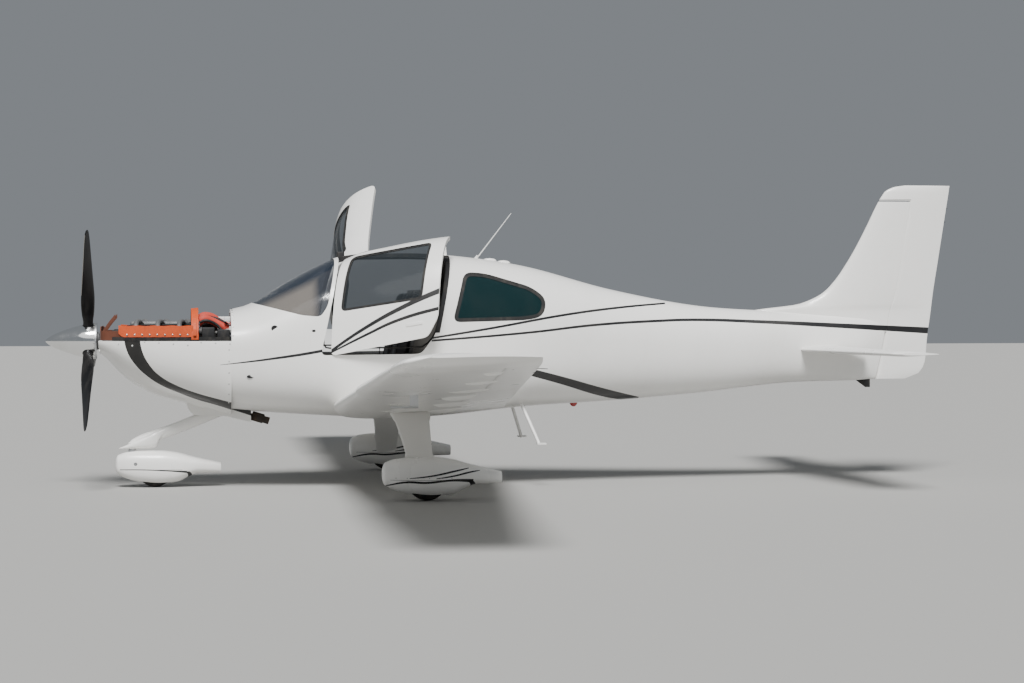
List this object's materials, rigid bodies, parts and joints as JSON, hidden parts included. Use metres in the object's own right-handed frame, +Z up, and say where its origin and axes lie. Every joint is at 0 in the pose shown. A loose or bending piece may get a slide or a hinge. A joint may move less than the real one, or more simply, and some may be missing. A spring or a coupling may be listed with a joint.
{
  "type": "four-seat light aircraft with its upper engine cowl removed",
  "caption": "Low-wing light aircraft on fixed tricycle gear, with opening cabin doors, turning propeller and wheels, castering nose gear and working control surfaces.",
  "frame": {"origin": "on the ground, midway between the spinner's tip and the rudder's trailing edge, on the centreline", "axes": "+X towards the tail, +Y towards the right wing tip, +Z up"},
  "size_m": [7.916, 11.68, 2.6013],
  "materials": {
    "white_shell": "gloss white paint on a composite shell",
    "white_metal": "gloss white paint",
    "tinted_glazing": "blue-grey tinted",
    "tyre": "worn matt rubber",
    "bare_alloy": "satin",
    "polished_alloy": "polished",
    "black_blades": "satin black paint",
    "engine_metal": "rough castings, partly painted grey",
    "steel_tube": "heat-stained",
    "orange_seal": "matt silicone rubber",
    "cabin_trim": "dark grained trim",
    "seat_shell": "matt",
    "seat_leather": "soft black",
    "black_plastic": "matt"
  },
  "bodies": {
    "airframe": {"fuselage": "white_shell", "horizontal_stabilizer": "white_shell", "vertical_fin": "white_shell", "windshield": "tinted_glazing", "left_rear_window": "tinted_glazing", "right_rear_window": "tinted_glazing", "left_wing": "white_shell", "right_wing": "white_shell", "left_gear_leg": "white_shell", "right_gear_leg": "white_shell", "left_wheel_fairing": "white_shell", "right_wheel_fairing": "white_shell", "nose_gear_leg": "white_metal", "engine": "engine_metal", "engine_baffles": "bare_alloy", "baffle_seals": "orange_seal", "engine_mount": "steel_tube", "lower_cowl": "white_shell", "exhaust_pipe": "steel_tube", "firewall": "bare_alloy", "cabin_floor": "cabin_trim", "aft_bulkhead": "cabin_trim", "instrument_panel": "cabin_trim", "centre_console": "cabin_trim", "left_front_seat": "seat_shell", "right_front_seat": "seat_shell", "rear_seat": "seat_shell", "left_front_cushion": "seat_leather", "right_front_cushion": "seat_leather", "rear_cushion": "seat_leather", "left_step": "white_metal", "right_step": "white_metal", "whip_antenna": "white_metal", "blade_antenna": "white_shell", "tail_skid": "black_plastic", "pitot_tube": "bare_alloy"},
    "propeller": {"propeller": "black_blades", "spinner": "polished_alloy"},
    "left_main_wheel": {"left_main_tyre": "tyre", "left_main_rim": "bare_alloy"},
    "right_main_wheel": {"right_main_tyre": "tyre", "right_main_rim": "bare_alloy"},
    "nose_fork": {"nose_fork": "bare_alloy", "nose_wheel_fairing": "white_shell"},
    "nose_wheel": {"nose_tyre": "tyre", "nose_rim": "bare_alloy"},
    "left_door": {"left_door": "white_shell", "left_door_window": "tinted_glazing"},
    "right_door": {"right_door": "white_shell", "right_door_window": "tinted_glazing"},
    "left_flap": {"left_flap": "white_shell"},
    "right_flap": {"right_flap": "white_shell"},
    "left_aileron": {"left_aileron": "white_shell"},
    "right_aileron": {"right_aileron": "white_shell"},
    "elevator": {"elevator": "white_shell"},
    "rudder": {"rudder": "white_shell"}
  },
  "joints": [
    {"name": "propeller_spin", "type": "hinge", "parent": "airframe", "child": "propeller", "pos_m": [-3.5, 0, 1.235], "axis": [1, 0, 0], "continuous": true},
    {"name": "left_main_wheel_roll", "type": "hinge", "parent": "airframe", "child": "left_main_wheel", "pos_m": [-0.928, -1.6, 0.16], "axis": [0, 1, 0], "continuous": true},
    {"name": "right_main_wheel_roll", "type": "hinge", "parent": "airframe", "child": "right_main_wheel", "pos_m": [-0.928, 1.6, 0.16], "axis": [0, 1, 0], "continuous": true},
    {"name": "nose_gear_caster", "type": "hinge", "parent": "airframe", "child": "nose_fork", "pos_m": [-3.246, 0, 0.3], "axis": [0, 0, 1], "range_deg": [-85, 85]},
    {"name": "nose_wheel_roll", "type": "hinge", "parent": "nose_fork", "child": "nose_wheel", "pos_m": [-3.054, 0, 0.145], "axis": [0, 1, 0], "continuous": true},
    {"name": "left_door_hinge", "type": "hinge", "parent": "airframe", "child": "left_door", "pos_m": [-1.565, -0.555, 1.7], "axis": [-0.1811, -0.5301, -0.8283], "range_deg": [-19, 64]},
    {"name": "right_door_hinge", "type": "hinge", "parent": "airframe", "child": "right_door", "pos_m": [-1.565, 0.555, 1.7], "axis": [0.1811, -0.5301, 0.8283], "range_deg": [-83, 0]},
    {"name": "left_flap_hinge", "type": "hinge", "parent": "airframe", "child": "left_flap", "pos_m": [-0.615, -1.86, 0.80778], "axis": [0.0816, 0.9918, -0.0986], "range_deg": [0, 32]},
    {"name": "right_flap_hinge", "type": "hinge", "parent": "airframe", "child": "right_flap", "pos_m": [-0.615, 1.86, 0.80778], "axis": [-0.0816, 0.9918, 0.0986], "range_deg": [0, 32]},
    {"name": "left_aileron_hinge", "type": "hinge", "parent": "airframe", "child": "left_aileron", "pos_m": [-0.788, -4.325, 1.07148], "axis": [0.0835, 0.9921, -0.0939], "range_deg": [-12.5, 12.5]},
    {"name": "right_aileron_hinge", "type": "hinge", "parent": "airframe", "child": "right_aileron", "pos_m": [-0.788, 4.325, 1.07148], "axis": [-0.0835, 0.9921, 0.0939], "range_deg": [-12.5, 12.5]},
    {"name": "elevator_hinge", "type": "hinge", "parent": "airframe", "child": "elevator", "pos_m": [2.942, 0, 1.145], "axis": [0, 1, 0], "range_deg": [-25, 15]},
    {"name": "rudder_hinge", "type": "hinge", "parent": "airframe", "child": "rudder", "pos_m": [3.309, 0, 0.88], "axis": [0.1895, 0, 0.9819], "range_deg": [-20, 20]}
  ],
  "couplings": [
    {"joint": "right_flap_hinge", "follows": "left_flap_hinge", "ratio": 1},
    {"joint": "right_aileron_hinge", "follows": "left_aileron_hinge", "ratio": -1}
  ]
}
